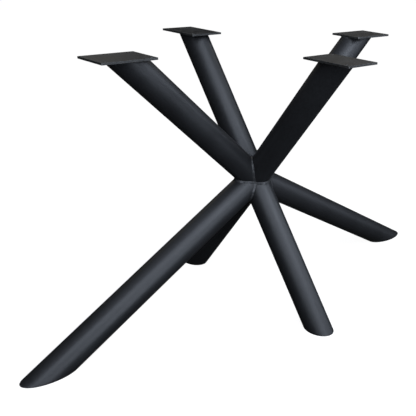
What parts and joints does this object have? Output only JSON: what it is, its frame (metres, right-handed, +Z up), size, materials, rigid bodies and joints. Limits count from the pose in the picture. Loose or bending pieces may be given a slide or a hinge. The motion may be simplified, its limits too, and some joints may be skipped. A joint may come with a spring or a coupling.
{
  "type": "spider table base",
  "caption": "Free-standing table base of round black steel tubes that meet in one mitred joint, with a flat screw plate on each upper leg.",
  "frame": {"origin": "on the floor, in the middle of the four feet", "axes": "+Z up to the table top, X along the long pair of legs, Y along the short pair, -Y is the front"},
  "size_m": [1.4404, 0.6944, 0.72],
  "materials": {
    "tube_coat": "matt black powder coat with a fine grain and a soft sheen",
    "plate_coat": "matt black powder coat, slightly browner and duller than the tubes",
    "weld_coat": "black powder coat over a rippled weld bead",
    "foot_coat": "matt black powder coat, rubbed by the floor"
  },
  "bodies": {
    "root": {"upper_tube_left": "tube_coat", "upper_tube_right": "tube_coat", "upper_tube_front": "tube_coat", "upper_tube_back": "tube_coat", "lower_tube_left": "tube_coat", "lower_tube_right": "tube_coat", "lower_tube_front": "tube_coat", "lower_tube_back": "tube_coat", "top_plate_left": "plate_coat", "top_plate_right": "plate_coat", "top_plate_front": "plate_coat", "top_plate_back": "plate_coat", "plate_weld_left": "weld_coat", "plate_weld_right": "weld_coat", "plate_weld_front": "weld_coat", "plate_weld_back": "weld_coat", "foot_plate_left": "foot_coat", "foot_plate_right": "foot_coat", "foot_plate_front": "foot_coat", "foot_plate_back": "foot_coat", "joint_weld": "weld_coat"}
  },
  "joints": []
}
